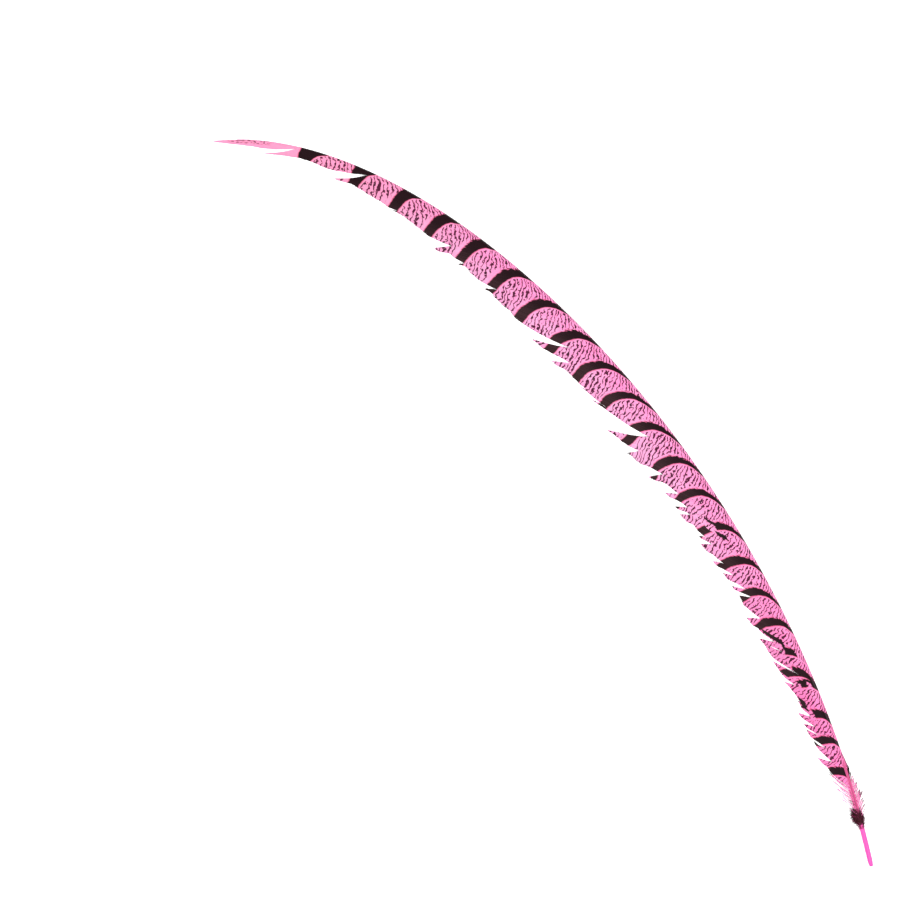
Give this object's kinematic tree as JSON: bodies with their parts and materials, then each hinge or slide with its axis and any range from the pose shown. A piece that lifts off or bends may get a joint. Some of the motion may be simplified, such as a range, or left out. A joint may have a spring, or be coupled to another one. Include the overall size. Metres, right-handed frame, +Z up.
{
  "type": "pheasant tail feather",
  "caption": "Long curved pheasant tail feather lying flat, dyed pink, with black bars, fine wavy markings, frayed vane and a bare quill.",
  "frame": {"origin": "on the surface that the feather lies on, under the middle of its bounding box", "axes": "+X along the chord from the quill end to the tip, +Y towards the side of the wide vane, +Z up out of the surface"},
  "size_m": [0.8588, 0.132, 0.0071],
  "materials": {
    "shaft": "satin",
    "vane": "matte",
    "down": "matte"
  },
  "bodies": {
    "root": {"shaft": "shaft", "wide_vane": "vane", "narrow_vane": "vane", "wide_side_down": "down", "narrow_side_down": "down"}
  },
  "joints": []
}
